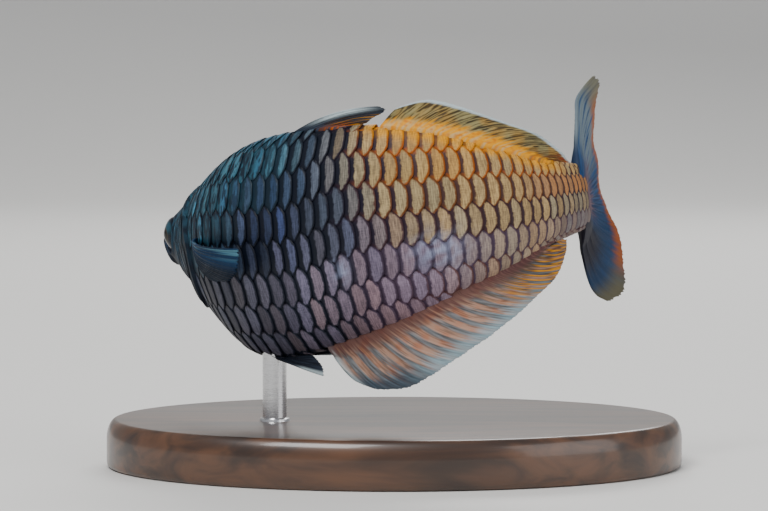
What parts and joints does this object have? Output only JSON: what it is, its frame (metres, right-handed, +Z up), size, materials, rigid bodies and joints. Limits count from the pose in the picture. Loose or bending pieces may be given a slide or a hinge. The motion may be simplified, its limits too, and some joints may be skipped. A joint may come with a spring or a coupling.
{
  "type": "rainbowfish model",
  "caption": "Life-size deep-bodied rainbowfish, blue in front and orange behind, held in a right-hand turn over an oval wooden base by one steel rod.",
  "frame": {"origin": "centre of the underside of the oval base, on the floor", "axes": "+X towards the tail, along the base's long axis, +Y towards the fish's right side, away from the picture's viewpoint, +Z up"},
  "size_m": [0.084, 0.056, 0.057],
  "materials": {
    "head_skin": "satin, blue-black",
    "trunk_skin": "satin, slate blue and lilac scales",
    "hindbody_skin": "satin, orange and tan scales",
    "eye": "glossy",
    "first_dorsal_web": "satin, dark grey-blue with a pale edge",
    "second_dorsal_web": "satin, orange with dark rays",
    "anal_web": "satin, salmon with grey-blue rays",
    "tail_web": "satin, blue with an orange edge",
    "pectoral_web": "satin, smoky blue",
    "pelvic_web": "satin, near black",
    "stand_wood": "dark varnish",
    "stand_steel": "satin"
  },
  "bodies": {
    "root": {"head": "head_skin", "lower_jaw": "head_skin", "eye_left": "eye", "eye_right": "eye", "trunk": "trunk_skin", "hindbody": "hindbody_skin", "tail_stalk": "hindbody_skin", "first_dorsal_fin": "first_dorsal_web", "second_dorsal_fin": "second_dorsal_web", "anal_fin": "anal_web", "tail_fin": "tail_web", "pectoral_fin_left": "pectoral_web", "pectoral_fin_right": "pectoral_web", "pelvic_fin_left": "pelvic_web", "pelvic_fin_right": "pelvic_web", "stand_base": "stand_wood", "stand_rod": "stand_steel"}
  },
  "joints": []
}
